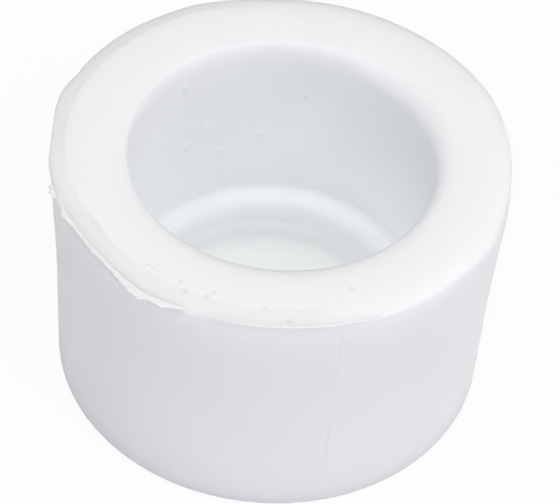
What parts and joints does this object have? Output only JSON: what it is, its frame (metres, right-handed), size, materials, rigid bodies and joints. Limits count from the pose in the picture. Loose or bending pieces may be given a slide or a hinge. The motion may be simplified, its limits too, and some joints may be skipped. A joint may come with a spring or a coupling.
{
  "type": "pipe cap",
  "caption": "White moulded plastic socket cap that is heat-welded onto the end of a plastic water pipe to close it.",
  "frame": {"origin": "centre of the closed end's outer face, on the socket's axis", "axes": "+Z along the socket's axis, out of the mouth; -Y towards the viewer of the picture"},
  "size_m": [0.036, 0.036, 0.0224],
  "materials": {
    "moulded_white": "satin moulded polypropylene",
    "flash_white": "torn and cut polypropylene"
  },
  "bodies": {
    "root": {"cap_body": "moulded_white", "rim_flash": "flash_white", "flash_nib": "flash_white", "knife_burr": "flash_white"}
  },
  "joints": []
}
